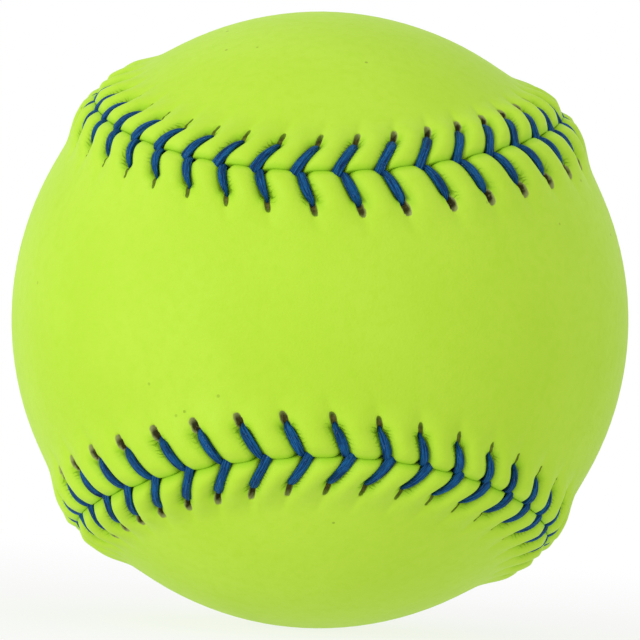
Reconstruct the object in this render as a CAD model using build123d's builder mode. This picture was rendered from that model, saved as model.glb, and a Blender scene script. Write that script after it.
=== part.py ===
from build123d import *
import os
from math import acos, atan, atan2, cos, degrees, hypot, pi, radians, sin, sqrt, tan

# A twelve-inch softball in millimetres, centred on the origin, +Z up.
# The waist of the front panel faces -Y, and its two lobes wrap round to +X and -X.
# The seam is four equal circular arcs that run into one another, each round a pole of its own.

# Driving dimensions of the ball and its layers
ball_circumference = 304.8
cover_thickness = 1.6
cement_thickness = 0.2

# Driving dimensions of the seam
waist_width = 42.9
seam_gap = 0.2
edge_round = 0.6
shoulder_width = 5.8
shoulder_ease = 0.45
crest_inset = 0.8

# Driving dimensions of the sewing
stitch_count = 88
stitch_phase = 2.2
stitch_lean = 3.05
hole_distance = 5.0
slit_past_thread = 1.5
thread_diameter = 1.0
crossing_spacing = 1.4
bed_floor = 0.8
tail_gap = 1.6

# Clearances
thread_clearance = 0.06
bend_clearance = 0.12
lift_room = 0.4

# Radii of the layers, from the outside in
ball_radius = ball_circumference / (2 * pi)
film_radius = ball_radius - cover_thickness
core_radius = film_radius - cement_thickness

# The threads that run under the leather lift it along the seam
seam_lift = thread_diameter + lift_room
edge_offset = seam_gap / 2
crest_offset = hole_distance - crest_inset
foot_offset = crest_offset + shoulder_width
shoulder_reach = shoulder_ease * shoulder_width

# Each seam arc is a circle, cap_angle away from a pole that leans by pole_lean
waist_angle = waist_width / 2 / ball_radius
pole_lean = atan((1 / sqrt(2) - sin(waist_angle)) / cos(waist_angle))
cap_angle = acos(cos(pole_lean) / sqrt(2))
half_turn = atan2(1, -sin(pole_lean))
arc_radius = ball_radius * sin(cap_angle)
arc_length = 2 * half_turn * arc_radius
stitch_pitch = 4 * arc_length / stitch_count

# Where the threads run: over the leather in beds, and under it on the glue film
thread_radius = thread_diameter / 2
fit_radius = thread_radius + thread_clearance
turn_radius = thread_radius + bend_clearance
leg_radius = film_radius + seam_lift + bed_floor + fit_radius
under_run = hypot(hole_distance, stitch_pitch)
under_radius = (film_radius + fit_radius) / cos(under_run / 2 / film_radius)
slit_length = 2 * fit_radius + slit_past_thread
slit_offset = hole_distance + slit_past_thread / 2
cut_depth = cover_thickness + seam_lift

# The arcs in order along the seam: z is the pole, x points at the middle of the arc
centre = (0, 0, 0)
up = cos(pole_lean)
out = sin(pole_lean)
top_arc = Plane(centre, x_dir=(0, -up, -out), z_dir=(0, -out, up))
right_arc = Plane(centre, x_dir=(-out, up, 0), z_dir=(up, out, 0))
bottom_arc = Plane(centre, x_dir=(0, -up, out), z_dir=(0, -out, -up))
left_arc = Plane(centre, x_dir=(out, up, 0), z_dir=(-up, out, 0))
seam_arcs = [top_arc, right_arc, bottom_arc, left_arc]

# A panel is named by the side of the seam that it lies on
BACK = 1
FRONT = -1


def polar_angle(side, across):
    """Angle from an arc's pole, for a distance across the seam towards the back panel."""
    return cap_angle - side * across / ball_radius


def seam_place(along, across):
    """The arc, its side, and the polar angle and turn on it, for a distance along and across the seam."""
    quarter, rest = divmod(along + arc_length / 2, arc_length)
    side = 1 if quarter % 2 == 0 else -1
    turn = side * (rest - arc_length / 2) / arc_radius
    return seam_arcs[int(quarter) % 4], side, polar_angle(side, across), turn


def arc_point(arc, polar, turn, radius):
    """A point over an arc's pole frame."""
    flat = radius * sin(polar)
    return arc.from_local_coords(Vector(flat * cos(turn), flat * sin(turn), radius * cos(polar)))


def seam_point(along, across, radius):
    """A point by its distance along and across the seam, at a radius."""
    arc, side, polar, turn = seam_place(along, across)
    return arc_point(arc, polar, turn, radius)


def seam_plane(along, across, radius):
    """A plane at that point: x along the seam, y towards the back panel, z outward."""
    arc, side, polar, turn = seam_place(along, across)
    ahead = arc.x_dir * (-side * sin(turn)) + arc.y_dir * (side * cos(turn))
    point = arc_point(arc, polar, turn, radius)
    return Plane(point, x_dir=ahead, z_dir=point)


def crossing(stitch, panel):
    """How far along the seam a panel's leg of a stitch dives between the two edges."""
    return stitch_phase + stitch * stitch_pitch - panel * crossing_spacing / 2


def leg_ends(stitch, panel, radius):
    """The hole end and the seam end of a panel's leg of a stitch, at a radius."""
    dive = crossing(stitch, panel)
    hole = seam_point(dive + stitch_lean, panel * hole_distance, radius)
    return hole, seam_point(dive, 0, radius)


def bed_plane(stitch, panel):
    """The floor of the bed that a leg presses into the leather, x along the leg."""
    hole, dive = leg_ends(stitch, panel, leg_radius)
    middle = (hole + dive) / 2
    return Plane(middle - middle.normalized() * fit_radius, x_dir=dive - hole, z_dir=middle)


def seam_loop(across, radius):
    """The closed line of four arcs that keeps one distance from the seam, at a radius."""
    with BuildLine() as loop:
        for number, arc in enumerate(seam_arcs):
            polar = polar_angle((-1) ** number, across)
            turns = (-half_turn, 0, half_turn)
            ThreePointArc(*[arc_point(arc, polar, turn, radius) for turn in turns])
    return loop.wire()


def panel_field(radius):
    """The plain part of the back panel: a sphere, opened along the foot of the raised edge."""
    with BuildPart() as ball:
        Sphere(radius, rotation=(0, 0, 90))
    return ball.faces()[0].make_holes([seam_loop(foot_offset, radius)])


def raised_edge(number):
    """The back panel's edge across one arc: shoulder, crest and rounded lip, then the underside."""
    arc = seam_arcs[number]
    side = (-1) ** number

    def at(across, radius, ahead=0):
        polar = polar_angle(side, across)
        x = radius * sin(polar) + ahead * side * cos(polar)
        y = radius * cos(polar) - ahead * side * sin(polar)
        return (x, y)

    with BuildLine(Plane(centre, x_dir=arc.x_dir, z_dir=-arc.y_dir)) as edge:
        lip_offset = edge_offset + edge_round
        lip_ease = edge_round * (1 - sqrt(0.5))
        for base, inner in ((ball_radius, lip_offset), (film_radius, edge_offset)):
            crest = base + seam_lift
            Bezier(
                at(foot_offset, base),
                at(foot_offset, base, shoulder_reach),
                at(crest_offset, crest, -shoulder_reach),
                at(crest_offset, crest),
            )
            ThreePointArc(at(crest_offset, crest), at((crest_offset + inner) / 2, crest), at(inner, crest))
        lip_top = ball_radius + seam_lift
        ThreePointArc(
            at(lip_offset, lip_top),
            at(edge_offset + lip_ease, lip_top - lip_ease),
            at(edge_offset, lip_top - edge_round),
        )
        Line(at(edge_offset, lip_top - edge_round), at(edge_offset, film_radius + seam_lift))
    return edge.edges()


def panel_blank():
    """The back panel before it is cut: its edge turned round the four poles and closed by its fields."""
    skin = [panel_field(ball_radius), panel_field(film_radius)]
    for number, arc in enumerate(seam_arcs):
        pole = Axis(centre, arc.z_dir)
        for line in raised_edge(number):
            start = line.rotate(pole, -degrees(half_turn))
            skin.append(Face.revolve(start, degrees(2 * half_turn), pole))
    return Solid(Shell(skin))


def stitch_cuts(panel):
    """A panel's slits, the beds of its legs and the notches where both threads dive."""
    stitches = range(stitch_count)
    floor = ball_radius - cut_depth
    slits = [seam_plane(crossing(i, panel) + stitch_lean, panel * slit_offset, floor) for i in stitches]
    notches = [seam_plane(stitch_phase + i * stitch_pitch, 0, floor) for i in stitches]
    hole, dive = leg_ends(0, panel, leg_radius)
    with BuildPart() as cuts:
        with BuildSketch(*slits):
            SlotOverall(slit_length, 2 * fit_radius, rotation=90)
        with BuildSketch(*[bed_plane(i, panel) for i in stitches]):
            SlotCenterToCenter((dive - hole).length, 2 * fit_radius)
        with BuildSketch(*notches):
            SlotOverall(crossing_spacing + 2 * fit_radius, 2 * fit_radius)
    return cuts.pending_faces


def thread_route(first_panel):
    """One thread's way: up a hole, over to the seam, down, and under the other panel to its next hole."""
    corners = []
    for step in range(stitch_count):
        panel = first_panel * (-1) ** step
        hole_under, dive_under = leg_ends(-step, panel, under_radius)
        hole_over, dive_over = leg_ends(-step, panel, leg_radius)
        corners += [hole_under, hole_over, dive_over, dive_under]
    last_run = corners[0] - corners[-1]
    middle = (corners[0] + corners[-1]) / 2
    tail = last_run.normalized() * tail_gap / 2
    return [middle + tail, *corners, middle - tail]


def thread_path(corners):
    """Straight runs between the corners, joined by tangent arcs of the thread's turn radius."""
    start = corners[0]
    runs = []
    for before, corner, after in zip(corners, corners[1:], corners[2:]):
        heading = (corner - before).normalized()
        leaving = (after - corner).normalized()
        reach = turn_radius * tan(radians(heading.get_angle(leaving)) / 2)
        turn_start = corner - heading * reach
        turn_end = corner + leaving * reach
        runs.append(Line(start, turn_start))
        runs.append(TangentArc(turn_start, turn_end, tangent=heading))
        start = turn_end
    runs.append(Line(start, corners[-1]))
    return Wire(runs)


# Foam core
with BuildPart() as core:
    Sphere(core_radius)
core.part.label = "core"

# Glue film between the core and the leather
with BuildPart() as cement_film:
    Sphere(film_radius)
    Sphere(core_radius, mode=Mode.SUBTRACT)
cement_film.part.label = "cement_film"

# The two leather panels: the front one is the back one turned half round
with BuildPart() as back_cover_panel:
    add(panel_blank())
    extrude(stitch_cuts(BACK), amount=2 * cut_depth, mode=Mode.SUBTRACT, clean=False)
back_cover_panel.part.label = "back_cover_panel"

with BuildPart() as front_cover_panel:
    add(panel_blank().rotate(Axis(centre, (1, 0, 1)), 180))
    extrude(stitch_cuts(FRONT), amount=2 * cut_depth, mode=Mode.SUBTRACT, clean=False)
front_cover_panel.part.label = "front_cover_panel"

# The two sewing threads, one stitch out of step with each other
first_path = thread_path(thread_route(FRONT))
with BuildPart() as first_thread:
    with BuildSketch(Plane(first_path @ 0, z_dir=first_path % 0)):
        Circle(thread_radius)
    sweep(path=first_path)
first_thread.part.label = "first_thread"

second_path = thread_path(thread_route(BACK))
with BuildPart() as second_thread:
    with BuildSketch(Plane(second_path @ 0, z_dir=second_path % 0)):
        Circle(thread_radius)
    sweep(path=second_path)
second_thread.part.label = "second_thread"

print("stitch pitch", round(stitch_pitch, 3), "thread length", round(first_path.length, 1))

os.makedirs("parts", exist_ok=True)
export_step(core.part, "parts/core.step")
export_step(cement_film.part, "parts/cement_film.step")
export_step(front_cover_panel.part, "parts/front_cover_panel.step")
export_step(back_cover_panel.part, "parts/back_cover_panel.step")
export_step(first_thread.part, "parts/first_thread.step")
export_step(second_thread.part, "parts/second_thread.step")
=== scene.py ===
"""A twelve-inch softball: two stitched leather panels round a glued foam core.

The leather panels and the sewing threads are surfaces worked out here, and the core and the glue
film keep their solids. Lengths are millimetres until a mesh is written, which is in metres.
"""

import bpy
import numpy as np
from mathutils import Euler, Matrix, Vector


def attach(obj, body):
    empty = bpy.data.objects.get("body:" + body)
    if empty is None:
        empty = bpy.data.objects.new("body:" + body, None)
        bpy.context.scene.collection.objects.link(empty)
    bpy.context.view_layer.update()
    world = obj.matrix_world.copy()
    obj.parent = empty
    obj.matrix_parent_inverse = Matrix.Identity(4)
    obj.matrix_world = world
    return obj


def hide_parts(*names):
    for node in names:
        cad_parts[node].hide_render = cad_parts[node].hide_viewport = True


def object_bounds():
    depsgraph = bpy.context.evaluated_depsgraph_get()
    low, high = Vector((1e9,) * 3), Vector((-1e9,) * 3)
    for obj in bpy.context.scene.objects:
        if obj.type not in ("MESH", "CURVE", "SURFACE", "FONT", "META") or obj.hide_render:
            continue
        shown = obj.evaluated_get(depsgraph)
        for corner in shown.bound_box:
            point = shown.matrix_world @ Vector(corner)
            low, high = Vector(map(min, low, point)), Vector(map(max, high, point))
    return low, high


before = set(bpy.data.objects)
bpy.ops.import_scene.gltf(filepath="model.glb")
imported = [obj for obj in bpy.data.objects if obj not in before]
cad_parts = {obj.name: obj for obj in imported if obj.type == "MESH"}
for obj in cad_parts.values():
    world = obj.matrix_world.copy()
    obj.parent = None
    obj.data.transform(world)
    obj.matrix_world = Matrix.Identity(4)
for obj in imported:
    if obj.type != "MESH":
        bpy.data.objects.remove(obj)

MM = 0.001
BACK = 1
FRONT = -1
cad_low, cad_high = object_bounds()

# The ball and its seam
ball_radius = (cad_high.x - cad_low.x) / 2 / MM
leather_thickness = 1.6
waist_width = 42.9

# How hand sewing pulls the seam and its stitches: most at the seam, nought at pull_reach from it
seam_skew = 1.4
waist_gain = 0.32
corner_pull = 0.94
stitch_drift = 1.7
stitch_swing = 0.5
row_stretch = 0.11
row_lean = 0.13
pull_reach = 20.0

# Raised edge of the leather along the seam
ridge_height = 1.7
ridge_width = 6.5
ridge_power = 2.4
lip_radius = 1.1
lip_depth = 0.22
lip_pull = 0.38
edge_gap = 0.02
under_lift = 1.4

# Sewing: the legs of thread between the holes and the seam
stitch_count = 88
stitch_phase = 2.887
stitch_lean = {BACK: 2.5, FRONT: 1.85}
hole_distance = 4.35
crossing_spacing = 0.85
leg_bow = {BACK: -0.06, FRONT: 0.1}
leg_scatter = 0.1

# How the leather gives: beds under the legs, puffs between them and notches where the threads dive
bed_depth = 0.72
bed_end_depth = 0.45
bed_width = 1.0
bed_fall = (3.8, 5.5)
puff_height = 0.68
puff_rise = (0.0, 2.2)
puff_fall = (4.0, 9.5)
notch_depth = 0.68
notch_length = 0.9
notch_width = 0.8
notch_shift = {BACK: 0.25, FRONT: 0.55}

# Slits past the holes, the dimples round them and the furrows that run on from them
slit_slope = 0.18
slit_middle = 1.1
slit_half_length = 1.35
slit_half_width = 0.5
slit_spread = 0.4
slit_power = 2.6
slit_depth = 0.75
slit_open = 0.5
slit_wall = (0.55, 1.1)
dimple_depth = 0.3
dimple_size = 1.4
dimple_past_hole = 0.6
furrow_depth = 0.2
furrow_width = 0.8
furrow_rise = (5.0, 7.0)
furrow_fall = (7.5, 10.5)

# Thread: half sizes of its flattened section, and its strands
thread_half_width = 0.67
thread_half_thickness = 0.42
strand_count = 5
strand_depth = 0.1
strand_twist = 0.35
under_height = -0.95

# Knots up the hole: lead past the leg, distance past the hole, height
hole_knots = ((0.0, 0.25, under_height), (0.05, 0.3, -0.2))

# Knots on the leg: share of the hole distance, and lift over the bed
leg_shares = (1.0, 0.86, 0.65, 0.43, 0.22)
leg_lifts = {BACK: (-0.12, 0.05, 0.08, 0.08, 0.08), FRONT: (-0.12, 0.05, 0.08, 0.08, 0.0)}

# Knots at the seam: where the leg ends and how high, and where it dives and how high
leg_end = {BACK: -0.3, FRONT: 0.25}
end_lift = {BACK: 0.05, FRONT: -0.35}
dive_share = 0.5
dive_height = {BACK: 0.0, FRONT: -0.3}

# Knots under the other panel: lead along the seam, distance from it
under_knots = ((-0.35, -0.9), (-0.9, -3.0))

# Widths at all these knots, in parts of the thread's, for legs with a pointed and with a blunt hole end
pointed_widths = {
    BACK: (0.5, 0.4, 0.4, 0.6, 0.82, 1.02, 1.15, 1.15, 0.75, 0.5, 0.5),
    FRONT: (0.5, 0.4, 0.4, 0.68, 0.92, 1.0, 0.98, 0.85, 0.6, 0.5, 0.5),
}
blunt_widths = {
    BACK: (0.5, 0.75, 0.95, 1.02, 1.0, 0.98, 1.0, 1.0, 0.7, 0.5, 0.5),
    FRONT: (0.5, 0.7, 0.9, 1.06, 1.12, 1.05, 0.85, 0.62, 0.55, 0.5, 0.5),
}
knot_thicknesses = (0.9, 0.9, 1.0, 1.0, 1.0, 1.0, 1.0, 1.0, 0.9, 0.9, 0.9)
blunt_range = (-0.75, 0.5)

# Slow swell of the hand-pulled leather
swell_height = 0.05
swell_waves = 7
swell_pace = 6.0

# Mesh fineness: columns for each stitch, rows across the raised edge and the plain field, thread rings
columns_per_stitch = 24
coarse_step = 4
edge_rows = 28
edge_reach = 8.0
edge_crowding = 1.3
shoulder_reach = 11.0
shoulder_rows = 5
field_rows = 12
inner_rows = (edge_gap, 2.5, 5.0, 7.5, shoulder_reach)
wall_drops = (1.0, 0.45)
merge_digits = 3
samples_per_knot = 3
section_points = 20

# Stage: floor, surrounding, lamp and camera, in metres, watts and degrees
floor_half_size = 4.0
floor_white = 0.78
floor_fade = (0.06, 0.3)
ambient_strength = 0.752
key_place = (-1.0, -0.95, 0.22)
key_size = 0.6
key_power = 6.4
camera_turn = -0.505
camera_rise = -1.103
camera_roll = 3.232
camera_distance = 12 * ball_radius * MM
camera_near = 0.01
frame_pixels = 640
ball_pixels = 308.5
sensor_width = 36.0

# The seam: four circular arcs, each cap_angle away from a pole that leans by pole_lean
waist_angle = waist_width / 2 / ball_radius
pole_lean = np.arctan((np.sqrt(0.5) - np.sin(waist_angle)) / np.cos(waist_angle))
cap_angle = np.arccos(np.cos(pole_lean) / np.sqrt(2))
half_turn = np.arctan2(1, -np.sin(pole_lean))
arc_radius = ball_radius * np.sin(cap_angle)
arc_length = 2 * half_turn * arc_radius
seam_length = 4 * arc_length
stitch_pitch = seam_length / stitch_count
leg_cosine = hole_distance / np.hypot(hole_distance, stitch_lean[BACK])
up = np.cos(pole_lean)
out = np.sin(pole_lean)
poles = np.array([[0, -out, up], [up, out, 0], [0, -out, -up], [-up, out, 0]])
middles = np.array([[0, -up, -out], [-out, up, 0], [0, -up, out], [out, up, 0]])
sideways = np.cross(poles, middles)

# Small differences between the stitches, and the waves of the swell
rng = np.random.default_rng(12)
leg_shift = {panel: rng.normal(0, leg_scatter, stitch_count) for panel in (BACK, FRONT)}
wave_vectors = rng.normal(0, swell_pace, (swell_waves, 3))
wave_phases = rng.uniform(0, 2 * np.pi, swell_waves)


def smooth_step(low, high, value):
    """Nought below low, one above high, and a smooth cubic ramp between them."""
    ramp = np.clip((value - low) / (high - low), 0, 1)
    return ramp * ramp * (3 - 2 * ramp)


def unit(vectors):
    """Vectors divided by their lengths."""
    return vectors / np.linalg.norm(vectors, axis=-1, keepdims=True)


def seam_place(along):
    """The arc's number, its side and the turn on it: the distance along the seam, divided by arcs."""
    quarter, rest = np.divmod(along + arc_length / 2, arc_length)
    number = quarter.astype(int) % 4
    side = 1 - 2 * (number % 2)
    return number, side, side * (rest - arc_length / 2) / arc_radius


def ball_point(along, across, height):
    """A point by its distances along and across the seam and its height over the ball.

    The direction is a polar angle and a turn about the nearest arc's pole. Near the seam both distances
    are pulled by sines and cosines of the place on the arc, as hand sewing does, and the height gets a
    slow swell, the mean of a few sines of the direction."""
    along, across, height = np.broadcast_arrays(along, across, height)
    fade = 1 - smooth_step(0, pull_reach, np.abs(across))
    phase = 2 * np.pi * along / arc_length
    slide = stitch_drift * np.cos(phase) + (stitch_swing - row_lean * np.abs(across)) * np.sin(phase)
    pull = seam_skew * np.sin(phase) + waist_gain * np.cos(phase / 2) - corner_pull * np.cos(3 * phase / 2)
    across = across + fade * (pull + row_stretch * across * np.sin(phase))
    number, side, turn = seam_place(along - fade * slide)
    polar = cap_angle - side * across / ball_radius
    ring = np.cos(turn)[..., None] * middles[number] + np.sin(turn)[..., None] * sideways[number]
    direction = np.sin(polar)[..., None] * ring + np.cos(polar)[..., None] * poles[number]
    swell = swell_height * np.sin(direction @ wave_vectors.T + wave_phases).mean(axis=-1)
    return (ball_radius + height + swell)[..., None] * direction


def panel_reach(along, panel):
    """Distance from the seam to the end of a panel's column: a lobe's pole or the waist's middle line."""
    number, side, turn = seam_place(along)
    waist = np.arctan2(up, out * np.cos(turn)) - cap_angle
    return ball_radius * np.where(side == panel, cap_angle, waist)


def leg_lead(across, lean, bow):
    """How far along the seam a leg has gone at a distance from it: a straight lean less a parabola's bow.

    Beyond the hole it goes on with the slit's own slope."""
    share = np.clip(across / hole_distance, 0, 1)
    past = np.maximum(across - hole_distance, 0)
    return lean * share - 4 * bow * share * (1 - share) + slit_slope * past


def leg_start(stitch, panel):
    """Where along the seam a panel's leg of a stitch dives: even steps, and each stitch's own shift."""
    place = stitch_phase + stitch * stitch_pitch - panel * crossing_spacing / 2
    return place + leg_shift[panel][stitch % stitch_count]


def beside_leg(along, across, panel):
    """Distance along the seam from the line of the nearest leg, found by rounding to whole stitches."""
    first = stitch_phase - panel * crossing_spacing / 2
    lead = leg_lead(across, stitch_lean[panel], leg_bow[panel])
    stitch = np.round((along - first - lead) / stitch_pitch).astype(int)
    return along - leg_start(stitch, panel) - lead


def ridge(across):
    """Height of the raised edge: a flat-topped bell that falls with the distance from the seam."""
    return ridge_height * np.exp(-(np.abs(across) / ridge_width) ** ridge_power)


def leg_sink(across):
    """How deep a leg presses into the ridge: a parabola, least half way and most at its two ends."""
    return bed_depth + bed_end_depth * (2 * np.clip(across / hole_distance, 0, 1) - 1) ** 2


def arc_wave(along):
    """A sine with one wave on each arc of the seam, nought at the arc's middle and ends."""
    return np.sin(2 * np.pi * along / arc_length)


def slit_ring(across, beside, wave):
    """One on the outline of a leg's slit and less inside it, for arrays and for shader values alike.

    A rounded oblong that begins under the thread, by powers of its shares of the two half sizes; it is
    wider on one half of each arc than on the other."""
    share = abs(across - hole_distance - slit_middle) / slit_half_length
    side_share = abs(beside) / (slit_half_width * (1 + slit_spread * wave))
    return (share ** slit_power + side_share ** slit_power) ** (1 / slit_power)


def leather_height(along, across, panel):
    """Height of the leather over the ball.

    The ridge, rounded off at its lip by a quarter ellipse; bell-shaped beds under the legs, puffs of a
    squared sine between them, bell-shaped notches where the threads dive, oblong slits in bell-shaped
    dimples, and bell-shaped furrows past them."""
    beside = beside_leg(along, across, panel)
    stitch_turn = np.pi * beside / stitch_pitch
    lip = 1 - np.sqrt(1 - np.clip(1 - across / lip_radius, 0, 1) ** 2)
    lip = lip * (lip_depth + lip_pull * np.cos(stitch_turn) ** 2)
    bed = np.exp(-(beside * leg_cosine / bed_width) ** 2) * (1 - smooth_step(*bed_fall, across))
    bed = bed * leg_sink(across)
    puff = np.sin(stitch_turn) ** 2 * smooth_step(*puff_rise, across) * (1 - smooth_step(*puff_fall, across))
    notch = np.exp(-((beside - notch_shift[panel]) / notch_length) ** 2 - (across / notch_width) ** 2)
    slit = 1 - smooth_step(*slit_wall, slit_ring(across, beside, 0))
    slit = slit * (1 + slit_open * arc_wave(along))
    dimple = np.exp(-(np.hypot(beside, across - hole_distance - dimple_past_hole) / dimple_size) ** 2)
    furrow = np.exp(-(beside / furrow_width) ** 2)
    furrow = furrow * smooth_step(*furrow_rise, across) * (1 - smooth_step(*furrow_fall, across))
    gain = ridge(across) - lip + puff_height * puff
    loss = bed + notch_depth * notch + slit_depth * slit + dimple_depth * dimple + furrow_depth * furrow
    return gain - loss


def row_faces(index):
    """Four-sided faces between neighbouring rows of an index grid whose columns close on themselves."""
    ahead = np.roll(index, -1, axis=1)
    return np.stack([index[:-1], ahead[:-1], ahead[1:], index[1:]], axis=-1).reshape(-1, 4)


def joining_faces(fine, coarse):
    """Many-sided faces between a fine row and a row with one column for each few of its own."""
    corners = fine.reshape(len(coarse), -1)
    last = np.roll(corners[:, :1], -1, axis=0)
    return np.hstack([corners, last, np.roll(coarse, -1)[:, None], coarse[:, None]])


def end_faces(row, ends):
    """Faces between the last open row and the points it closes on, triangles where two ends are one."""
    ahead_row = np.roll(row, -1)
    ahead_end = np.roll(ends, -1)
    single = ends == ahead_end
    triangles = np.stack([row, ahead_row, ends], axis=-1)[single]
    quads = np.stack([row, ahead_row, ahead_end, ends], axis=-1)[~single]
    return [triangles, quads]


def make_piece(name, points, faces, label, places, material):
    """A mesh piece in place of its CAD node, from points in millimetres, groups of faces, and a named
    vector at each point for its material."""
    mesh = bpy.data.meshes.new(name)
    mesh.from_pydata(points * MM, [], [face for group in faces for face in group.tolist()])
    mesh.polygons.foreach_set("use_smooth", np.ones(len(mesh.polygons), bool))
    layer = mesh.attributes.new(label, "FLOAT_VECTOR", "POINT")
    layer.data.foreach_set("vector", places.astype(np.float32).ravel())
    mesh.validate()
    mesh.materials.append(material)
    piece = bpy.data.objects.new(name, mesh)
    bpy.context.scene.collection.objects.link(piece)
    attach(piece, "root")
    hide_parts(name)


def panel_sheet(columns, across, panel, inside):
    """Points and sewing places of one sheet of a panel, rows across and columns along the seam.

    The inner sheet is the plain ridge, lifted less and one leather thickness lower. A sewing place is the
    distance across, the distance beside the nearest leg and the arc's wave; across is -1 inside."""
    across = np.broadcast_to(across, (len(across), len(columns)))
    along = np.broadcast_to(columns, across.shape)
    if inside:
        height = ridge(across) * under_lift / ridge_height - leather_thickness
    else:
        height = leather_height(along, across, panel)
    points = ball_point(along, panel * across, height)
    beside = np.abs(beside_leg(along, across, panel))
    shown_across = np.full(across.shape, -1.0) if inside else across
    return points, np.stack([shown_across, beside, arc_wave(along)], axis=-1)


def leather_panel(name, panel, material):
    """One leather panel as a closed skin.

    Columns run along the whole seam. Rows run from the seam wall over the lip and the raised edge, fine,
    and then over the plain field, coarse, to the lobes' poles and the waist's middle line. The same
    field, one leather thickness lower, closes the skin on the inside."""
    count = columns_per_stitch * stitch_count
    fine_along = np.arange(count) * seam_length / count
    coarse_along = fine_along[::coarse_step]
    crowded = (np.arange(edge_rows + 1) / edge_rows) ** edge_crowding
    shoulder = np.linspace(edge_reach, shoulder_reach, shoulder_rows + 1)[1:]
    edge_across = np.concatenate([edge_gap + (edge_reach - edge_gap) * crowded, shoulder])
    reach = panel_reach(coarse_along, panel)
    shares = (np.arange(field_rows) + 1)[:, None] / field_rows
    field_across = shoulder_reach + (reach - shoulder_reach) * shares
    inner_edge = np.broadcast_to(np.array(inner_rows)[:, None], (len(inner_rows), len(reach)))
    inner_across = np.vstack([inner_edge, field_across[1::2]])

    edge, edge_place = panel_sheet(fine_along, edge_across[:, None], panel, False)
    lip_height = leather_height(fine_along, np.full(count, edge_gap), panel)
    wall = [ball_point(fine_along, panel * edge_gap, lip_height - drop) for drop in wall_drops]
    wall_place = np.repeat(edge_place[:1], len(wall_drops), axis=0)
    field, field_place = panel_sheet(coarse_along, field_across, panel, False)
    inner, inner_place = panel_sheet(coarse_along, inner_across, panel, True)

    blocks = [np.concatenate([wall, edge]), field, inner]
    places = [np.concatenate([wall_place, edge_place]), field_place, inner_place]
    points = np.concatenate([block.reshape(-1, 3) for block in blocks])
    place = np.concatenate([block.reshape(-1, 3) for block in places])
    sizes = [block.shape[0] * block.shape[1] for block in blocks]
    offsets = np.cumsum([0] + sizes)
    grids = []
    for block, offset, size in zip(blocks, offsets, sizes):
        grids.append(offset + np.arange(size).reshape(block.shape[:2]))
    edge_grid, field_grid, inner_grid = grids

    # Columns that end on the same point share it
    for grid in (field_grid, inner_grid):
        keys = np.round(points[grid[-1]], merge_digits)
        unused, first, same = np.unique(keys, axis=0, return_index=True, return_inverse=True)
        grid[-1] = grid[-1][first][same.ravel()]

    faces = [row_faces(edge_grid), joining_faces(edge_grid[-1], field_grid[0]), row_faces(field_grid[:-1])]
    faces += end_faces(field_grid[-2], field_grid[-1])
    inward = [row_faces(inner_grid[:-1]), joining_faces(edge_grid[0], inner_grid[0])]
    inward += end_faces(inner_grid[-2], inner_grid[-1])
    faces += [group[:, ::-1] for group in inward]
    if panel == FRONT:
        faces = [group[:, ::-1] for group in faces]

    # Points that no face uses are left out, and the rest are numbered again
    used, packed = np.unique(np.concatenate([group.ravel() for group in faces]), return_inverse=True)
    cuts = np.cumsum([group.size for group in faces])[:-1]
    parts = np.split(packed.ravel(), cuts)
    faces = [part.reshape(group.shape) for part, group in zip(parts, faces)]
    make_piece(name, points[used], faces, "sewing", place[used], material)


def smooth_run(knots, samples):
    """Catmull-Rom curve through a closed ring of knots, with a few samples after each knot."""
    share = (np.arange(samples) / samples)[None, :, None]
    ring = (np.roll(knots, 1, 0), knots, np.roll(knots, -1, 0), np.roll(knots, -2, 0))
    before, here, after, beyond = (group[:, None, :] for group in ring)
    curve = 2 * here + (after - before) * share
    curve = curve + (2 * before - 5 * here + 4 * after - beyond) * share ** 2
    curve = curve + (3 * here - before - 3 * after + beyond) * share ** 3
    return (curve / 2).reshape(-1, knots.shape[1])


def thread_knots(first_panel):
    """Knots of one thread, stitch after stitch, with the section's width direction and half sizes.

    Up a hole, over the leather to the seam, down between the edges, and under the other panel. The legs
    on the back panel end past the seam, over the ends of the front panel's legs. The widths go over from
    pointed to blunt with the arc's wave."""
    steps = np.arange(stitch_count)
    panel = first_panel * (1 - 2 * (steps % 2))
    on_back = panel == BACK

    def chosen(values):
        """For each stitch, the value or row of values of the panel that its leg lies on."""
        back, front = np.array(values[BACK]), np.array(values[FRONT])
        return np.where(on_back.reshape(-1, *[1] * back.ndim), back, front)

    starts = np.where(on_back, leg_start(-steps, BACK), leg_start(-steps, FRONT))
    lean = chosen(stitch_lean)
    bow = chosen(leg_bow)
    end = chosen(leg_end)

    def knot(lead, across, height):
        """A knot of every stitch, by its lead from the dive, its distance from the seam and its height."""
        return ball_point(starts + lead, panel * across, height)

    def leg_knot(across, lift):
        """A knot of every leg, which lies in its bed."""
        height = ridge(across) - leg_sink(across) + thread_half_thickness + lift
        return knot(leg_lead(across, lean, bow), across, height)

    hole = [knot(lean + lead, hole_distance + past, height) for lead, past, height in hole_knots]
    leg = [leg_knot(share * hole_distance, lift) for share, lift in zip(leg_shares, chosen(leg_lifts).T)]
    seam = [leg_knot(end, chosen(end_lift)), knot(0.0, end * dive_share, chosen(dive_height))]
    under = [knot(lead, across, under_height) for lead, across in under_knots]
    over = hole + leg + seam
    knots = np.stack(over + under, axis=1)

    leg_heading = leg[-1] - leg[1]
    under_heading = under[-1] - under[0]
    heading = np.stack([leg_heading] * len(over) + [under_heading] * len(under), axis=1)
    width = np.cross(unit(knots), unit(heading))
    blunt_share = smooth_step(*blunt_range, arc_wave(starts))[:, None]
    pointed = chosen(pointed_widths)
    half_width = thread_half_width * (pointed + blunt_share * (chosen(blunt_widths) - pointed))
    half_thick = thread_half_thickness * np.broadcast_to(knot_thicknesses, half_width.shape)
    return np.concatenate([knots, width, half_width[..., None], half_thick[..., None]], axis=-1)


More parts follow.
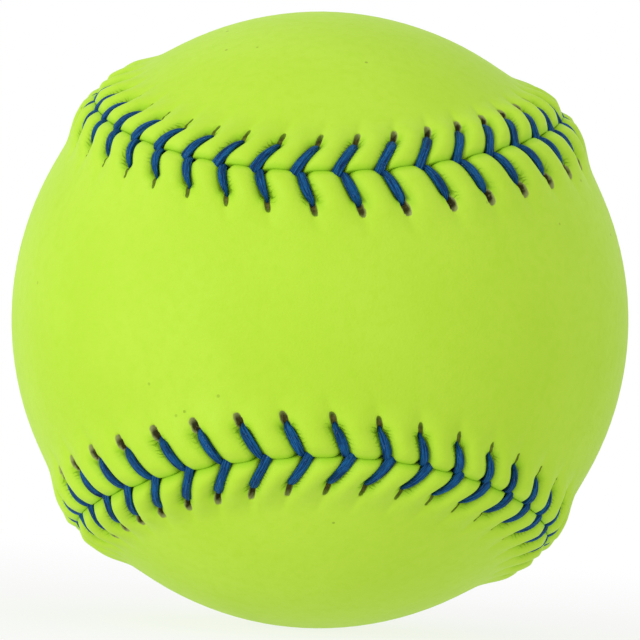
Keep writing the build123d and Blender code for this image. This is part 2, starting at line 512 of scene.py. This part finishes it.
def sewing_thread(name, first_panel, material):
    """One waxed thread: a flattened section with twisted strands, carried along the sewn route.

    The section is an ellipse whose radius has one wave for each strand; it stays square to the route
    and flat on the leather. The route's last ring is left out, so the two ends lie apart under the
    leather, each closed by a flat face."""
    knots = thread_knots(first_panel)
    run = smooth_run(knots.reshape(-1, knots.shape[-1]), samples_per_knot)
    centre, width, half_width, half_thick = np.split(run, [3, 6, 7], axis=1)
    tangent = unit(np.roll(centre, -1, 0) - np.roll(centre, 1, 0))
    width = unit(width - tangent * (width * tangent).sum(-1, keepdims=True))
    height = np.cross(tangent, width)
    lengths = np.linalg.norm(np.diff(centre, axis=0), axis=-1)
    along = np.concatenate([[0], np.cumsum(lengths)])[:, None]
    around = np.linspace(0, 2 * np.pi, section_points, endpoint=False)[None, :]
    wave = 1 + strand_depth * np.cos(strand_count * around - strand_twist * along)
    x = half_width * np.cos(around) * wave
    y = half_thick * np.sin(around) * wave
    points = centre[:, None] + width[:, None] * x[..., None] + height[:, None] * y[..., None]
    place = np.stack([np.broadcast_to(along, x.shape), x, y], axis=-1)

    index = np.arange(x.size).reshape(x.shape)[:-1]
    faces = [row_faces(index), index[:1, ::-1], index[-1:]]
    points = points[:-1].reshape(-1, 3)
    place = place[:-1].reshape(-1, 3)
    make_piece(name, points, faces, "lay", place, material)


class Value:
    """A number that changes over a surface: arithmetic on it adds Math nodes."""

    def __init__(self, shader, socket):
        self.shader = shader
        self.socket = socket

    def math(self, operation, *terms):
        """A Math node of the terms, in their order."""
        node = self.shader.node("Math", {"operation": operation}, dict(enumerate(terms)))
        return Value(self.shader, node.outputs[0])

    def __add__(self, other):
        return self.math("ADD", self, other)

    def __radd__(self, other):
        return self.math("ADD", other, self)

    def __sub__(self, other):
        return self.math("SUBTRACT", self, other)

    def __rsub__(self, other):
        return self.math("SUBTRACT", other, self)

    def __mul__(self, other):
        return self.math("MULTIPLY", self, other)

    def __rmul__(self, other):
        return self.math("MULTIPLY", other, self)

    def __truediv__(self, other):
        return self.math("DIVIDE", self, other)

    def __rtruediv__(self, other):
        return self.math("DIVIDE", other, self)

    def __pow__(self, other):
        return self.math("POWER", self, other)

    def __abs__(self):
        return self.math("ABSOLUTE", self)

    def sine(self):
        return self.math("SINE", self)

    def larger(self, other):
        return self.math("MAXIMUM", self, other)

    def ramp(self, low, high):
        """Nought at low, one at high, smooth between them; low may be the larger."""
        settings = {"interpolation_type": "SMOOTHSTEP"}
        sockets = {"Value": self, "From Min": low, "From Max": high}
        return self.shader.number("MapRange", settings, sockets)


class Shader:
    """The nodes of a material or of the surrounding, and the few ways of adding to them."""

    def __init__(self, owner):
        owner.use_nodes = True
        self.owner = owner
        self.tree = owner.node_tree
        self.tree.nodes.clear()

    def node(self, kind, settings, sockets):
        """Adds a node: its settings are set first, then each socket gets a value or a link."""
        node = self.tree.nodes.new("ShaderNode" + kind)
        for name, value in settings.items():
            setattr(node, name, value)
        for name, value in sockets.items():
            if isinstance(value, Value):
                value = value.socket
            if isinstance(value, bpy.types.NodeSocket):
                self.tree.links.new(value, node.inputs[name])
            else:
                node.inputs[name].default_value = value
        return node

    def number(self, kind, settings, sockets, output=0):
        """A node's output as a Value."""
        return Value(self, self.node(kind, settings, sockets).outputs[output])

    def parts(self, vector):
        """The three numbers of a vector."""
        split = self.node("SeparateXYZ", {}, {"Vector": vector})
        return [Value(self, socket) for socket in split.outputs]

    def joined(self, x, y, z):
        """A vector from three numbers."""
        return self.node("CombineXYZ", {}, {0: x, 1: y, 2: z}).outputs[0]

    def attribute(self, name):
        """The vector that the mesh keeps under a name."""
        return self.node("Attribute", {"attribute_name": name}, {}).outputs["Vector"]

    def place(self):
        """The point in the object's own frame, in metres."""
        return self.node("TexCoord", {}, {}).outputs["Object"]

    def noise(self, vector, scale, detail, roughness=0.5):
        """A noise value between nought and one, with so many swells to each unit of the vector."""
        sockets = {"Vector": vector, "Scale": scale, "Detail": detail, "Roughness": roughness}
        return self.number("TexNoise", {}, sockets)

    def cells(self, vector, scale, feature="F1"):
        """Distance to the nearest of scattered points, in parts of a cell, so many to each unit."""
        sockets = {"Vector": vector, "Scale": scale}
        return self.number("TexVoronoi", {"feature": feature}, sockets, "Distance")

    def blend(self, share, colour, other):
        """One colour going over to another by a share."""
        return self.node("Mix", {"data_type": "RGBA"}, {0: share, 6: colour, 7: other}).outputs[2]

    def layered(self, colour, layers):
        """Colours laid over one another, each where its mask is, by its strength."""
        for mask, strength, tint in layers:
            colour = self.blend(mask * strength, colour, tint)
        return colour

    def bump(self, height, distance):
        """A normal from a height in parts of a distance in metres."""
        return self.node("Bump", {}, {"Height": height, "Distance": distance}).outputs[0]

    def surface(self, fixed, colour, rough, normal):
        """The Principled surface: fixed values on its own sockets, and the three that vary linked."""
        sockets = {**fixed, "Base Color": colour, "Roughness": rough, "Normal": normal}
        shader = self.node("BsdfPrincipled", {}, sockets)
        self.node("OutputMaterial", {}, {"Surface": shader.outputs[0]})
        return self.owner


def srgb(red, green, blue):
    """A linear colour from display values, 0 to 255: a straight foot and a power above it."""
    share = np.array([red, green, blue]) / 255
    linear = np.where(share <= 0.04045, share / 12.92, ((share + 0.055) / 1.055) ** 2.4)
    return (*linear.tolist(), 1.0)


def cover_leather():
    """Optic-yellow coated leather.

    Two limes mixed by a slow cloud under a fine grain; painted shade, a darker green, in the hollows beside
    the legs and along the seam and in the creases of puckers of a broken sine, and a painted shadow line
    along the legs' edges; raw slits by the slit's own outline, with painted shade deeper in their middle;
    painted shadow where the threads dive; and a few specks."""
    shader = Shader(bpy.data.materials.new("cover_leather"))
    place = shader.place()
    across, beside, wave = shader.parts(shader.attribute("sewing"))
    outside = across.ramp(-0.5, 0.0)
    cloud = shader.noise(place, 45.0, 3.0)
    fine_cloud = shader.noise(place, 700.0, 2.0)
    pores = shader.cells(place, 2300.0, "SMOOTH_F1")
    grain = shader.noise(place, 3200.0, 2.0)

    leg_side = beside * leg_cosine
    # Puckers: short folds beside the legs, bumps in the height, whose darker green colour is painted shade
    # in their creases
    pucker_zone = leg_side.ramp(1.35, 0.7) + leg_side.ramp(2.0, 0.9) * 0.15
    pucker_zone = pucker_zone * across.ramp(0.8, 2.6) * across.ramp(5.8, 4.4)
    folds = (across * 10.0 + shader.noise(place, 560.0, 1.0) * 18.0).sine()
    patchy = shader.noise(place, 230.0, 1.0).ramp(0.36, 0.62)
    pucker_fold_and_shade = pucker_zone * patchy * folds.ramp(0.45, 0.95)

    fray = shader.noise(place, 1500.0, 2.0) * 0.25
    fibre = shader.noise(place, 1900.0, 3.0)
    ring = slit_ring(across, beside, wave) + fray
    raw = ring.ramp(1.2, 1.04)
    # Slit middle: partly the raw leather's own grey-brown with pale fibres, partly painted shade, darker
    # towards the middle and where the slit opens wider and deeper
    deep = ring.ramp(1.08, 0.8) * across.ramp(6.5, 5.8) * (0.5 + 0.45 * wave.ramp(-0.95, -0.1))
    # Painted shade: darker green in the crease right at the seam
    seam_crease_shade = (across + fray * 0.4).ramp(0.4, 0.1) * outside
    # Painted shadow: dark green in the notch where the threads dive into the seam
    dive = across.ramp(1.0, 0.3) * beside.ramp(1.6, 0.8) * outside
    # Painted shade: darker, greener leather in the hollows beside the legs and along the seam
    leg_hollow_shade = leg_side.ramp(1.7, 0.6) * across.ramp(6.4, 4.6) * outside
    hollow_shade = leg_hollow_shade.larger(across.ramp(1.1, 0.1) * outside)
    # Painted shadow: a dark green line on the leather along each leg's edge
    outline = leg_side.ramp(1.0, 0.7) * across.ramp(5.0, 4.2) * outside
    speck = shader.cells(place, 190.0).ramp(0.06, 0.035) * cloud.ramp(0.5, 0.6)

    raw_colour = shader.blend(wave.ramp(-0.3, 0.7), srgb(112, 138, 40), srgb(160, 168, 104))
    # Painted shade: the slit's middle goes darker as the slit opens wider, over the raw leather's own colour
    # and fibres
    deep_colour = shader.blend(wave.ramp(0.1, 0.8), srgb(108, 102, 54), srgb(46, 42, 20))
    deep_layers = (
        (fibre.ramp(0.45, 0.6), 0.65, srgb(52, 48, 24)),
        (fibre.ramp(0.4, 0.3), 0.5, srgb(150, 146, 100)),
    )
    deep_colour = shader.layered(deep_colour, deep_layers)
    layers = (
        (fine_cloud.ramp(0.4, 0.75), 0.2, srgb(175, 226, 38)),
        # painted shade in the hollows beside the legs and along the seam
        (hollow_shade, 0.5, srgb(138, 206, 6)),
        # painted shadow along the legs' edges
        (outline, 0.65, srgb(80, 126, 8)),
        # painted shade in the pucker creases
        (pucker_fold_and_shade, 0.7, srgb(118, 184, 4)),
        # painted shade in the seam crease
        (seam_crease_shade, 0.25, srgb(116, 172, 10)),
        # painted shadow in the dive notches
        (dive, 0.4, srgb(52, 92, 8)),
        (raw, 1.0, raw_colour),
        # painted shade in the slit's middle, over raw leather
        (deep, 1.0, deep_colour),
        (speck, 0.5, srgb(112, 140, 40)),
    )
    lime = shader.blend(cloud.ramp(0.3, 0.7), srgb(190, 232, 60), srgb(195, 236, 68))
    suede = srgb(196, 186, 150)
    colour = shader.blend(outside, suede, shader.layered(lime, layers))

    height = pores * 0.35 + grain * 0.3 + fine_cloud * 0.3 - pucker_fold_and_shade * 1.5
    rough = 0.44 + fine_cloud * 0.12 + raw * 0.3
    return shader.surface({"Specular IOR Level": 0.11}, colour, rough, shader.bump(height, 0.07 * MM))


def waxed_thread():
    """Blue waxed thread: noise drawn out along the lay for streaks and single hairs, and wax glints."""
    shader = Shader(bpy.data.materials.new("waxed_thread"))
    along, wide, high = shader.parts(shader.attribute("lay"))
    streaks = shader.noise(shader.joined(along * 0.22, wide * 5.5, high * 5.5), 1.0, 3.0, 0.65)
    hairs = shader.noise(shader.joined(along * 1.3, wide * 12.0, high * 12.0), 1.0, 2.0, 0.6)
    patch = shader.noise(shader.joined(along * 0.45, wide, high), 1.0, 1.0)
    wax = shader.noise(shader.joined(along * 4.0, wide * 7.0, high * 7.0), 1.0, 2.0)
    glint = wax.ramp(0.67, 0.75)

    blue = shader.blend(streaks.ramp(0.36, 0.64), srgb(5, 44, 90), srgb(30, 106, 170))
    layers = (
        (hairs.ramp(0.48, 0.66), 0.75, srgb(3, 26, 52)),
        (patch.ramp(0.5, 0.8), 0.4, srgb(18, 96, 146)),
        (glint, 0.6, srgb(140, 165, 190)),
    )
    height = streaks * 0.7 + hairs * 0.5
    rough = 0.52 + hairs * 0.15 - glint * 0.2
    colour = shader.layered(blue, layers)
    return shader.surface({"Specular IOR Level": 0.1}, colour, rough, shader.bump(height, 0.2 * MM))


def core_foam():
    """Moulded polyurethane: pale, with closed cells and a faint flow mottle."""
    shader = Shader(bpy.data.materials.new("core_foam"))
    place = shader.place()
    cells = shader.cells(place, 1400.0)
    mottle = shader.noise(place, 60.0, 3.0)
    foam = shader.blend(mottle, srgb(226, 214, 178), srgb(206, 190, 150))
    colour = shader.layered(foam, [(cells.ramp(0.35, 0.1), 0.5, srgb(176, 158, 118))])
    return shader.surface({}, colour, 0.75 + mottle * 0.1, shader.bump(cells, 0.1 * MM))


def cement_film():
    """Brushed contact cement: milky amber, with noise drawn out level for the brush strokes."""
    shader = Shader(bpy.data.materials.new("cement_film"))
    x, y, z = shader.parts(shader.place())
    strokes = shader.noise(shader.joined(x * 60.0, y * 60.0, z * 900.0), 1.0, 3.0)
    colour = shader.blend(strokes, srgb(232, 222, 180), srgb(205, 186, 128))
    return shader.surface({}, colour, 0.35 + strokes * 0.25, shader.bump(strokes, 0.1 * MM))


def seen_rays(shader):
    """One for rays that the camera, a reflection or a clear body sends, nought for light."""
    rays = shader.node("LightPath", {}, {}).outputs
    seen = Value(shader, rays["Is Camera Ray"]).larger(rays["Is Glossy Ray"])
    return seen.larger(rays["Is Transmission Ray"])


def floor_paint():
    """A pale floor that the camera sees nearly white, with the ball's shadow on it near the ball."""
    shader = Shader(bpy.data.materials.new("floor"))
    dull = shader.node("BsdfDiffuse", {}, {"Color": srgb(250, 250, 248)})
    white = shader.node("Emission", {}, {"Color": srgb(255, 255, 255), "Strength": 1.0})
    distance = shader.number("VectorMath", {"operation": "LENGTH"}, {0: shader.place()}, "Value")
    share = seen_rays(shader) * (floor_white + (1 - floor_white) * distance.ramp(*floor_fade))
    mixed = shader.node("MixShader", {}, {0: share, 1: dull.outputs[0], 2: white.outputs[0]})
    shader.node("OutputMaterial", {}, {"Surface": mixed.outputs[0]})
    return shader.owner


def pale_floor():
    """A square floor at the ball's lowest point, which throws no light back on the ball."""
    corners = floor_half_size * np.array([[-1, -1, 0], [1, -1, 0], [1, 1, 0], [-1, 1, 0]])
    mesh = bpy.data.meshes.new("floor")
    mesh.from_pydata(corners + np.array([0, 0, cad_low.z]), [], [[0, 1, 2, 3]])
    mesh.materials.append(floor_paint())
    floor = bpy.data.objects.new("floor", mesh)
    floor.visible_diffuse = False
    bpy.context.scene.collection.objects.link(floor)


def white_surrounding():
    """A surrounding that looks white and lights the ball softly from all sides."""
    world = bpy.data.worlds.new("surrounding")
    shader = Shader(world)
    soft = shader.node("Background", {}, {"Color": srgb(255, 255, 255), "Strength": ambient_strength})
    white = shader.node("Background", {}, {"Color": srgb(255, 255, 255), "Strength": 1.0})
    mixed = shader.node("MixShader", {}, {0: seen_rays(shader), 1: soft.outputs[0], 2: white.outputs[0]})
    shader.node("OutputWorld", {}, {"Surface": mixed.outputs[0]})
    bpy.context.scene.world = world


def soft_lamp(name, place, size, power):
    """A square lamp that faces the ball."""
    lamp = bpy.data.lights.new(name, "AREA")
    lamp.size = size
    lamp.energy = power
    holder = bpy.data.objects.new(name, lamp)
    holder.location = place
    holder.rotation_euler = Vector(place).to_track_quat("Z", "Y").to_euler()
    bpy.context.scene.collection.objects.link(holder)


def level_camera():
    """A camera far from the ball, a little turned and rolled.

    Its lens makes the ball's outline ball_pixels in radius: the tangent from the camera to the ball."""
    metres = ball_radius * MM
    outline = metres / np.sqrt(camera_distance ** 2 - metres ** 2)
    camera = bpy.data.cameras.new("camera")
    camera.sensor_width = sensor_width
    camera.lens = ball_pixels / outline / frame_pixels * sensor_width
    camera.clip_start = camera_near
    aim = Euler((np.radians(90 - camera_rise), 0, np.radians(camera_turn)), "XYZ").to_matrix()
    aim = aim @ Matrix.Rotation(np.radians(camera_roll), 3, "Z")
    holder = bpy.data.objects.new("camera", camera)
    holder.matrix_world = aim.to_4x4()
    holder.location = aim.col[2] * camera_distance
    bpy.context.scene.collection.objects.link(holder)
    bpy.context.scene.camera = holder


# The ball
leather = cover_leather()
thread = waxed_thread()
leather_panel("front_cover_panel", FRONT, leather)
leather_panel("back_cover_panel", BACK, leather)
sewing_thread("first_thread", FRONT, thread)
sewing_thread("second_thread", BACK, thread)
for node_name, finish in (("core", core_foam()), ("cement_film", cement_film())):
    node_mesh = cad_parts[node_name].data
    node_mesh.materials.clear()
    node_mesh.materials.append(finish)

# The stage
pale_floor()
white_surrounding()
soft_lamp("key", key_place, key_size, key_power)
level_camera()
bpy.context.scene.view_settings.view_transform = "Standard"
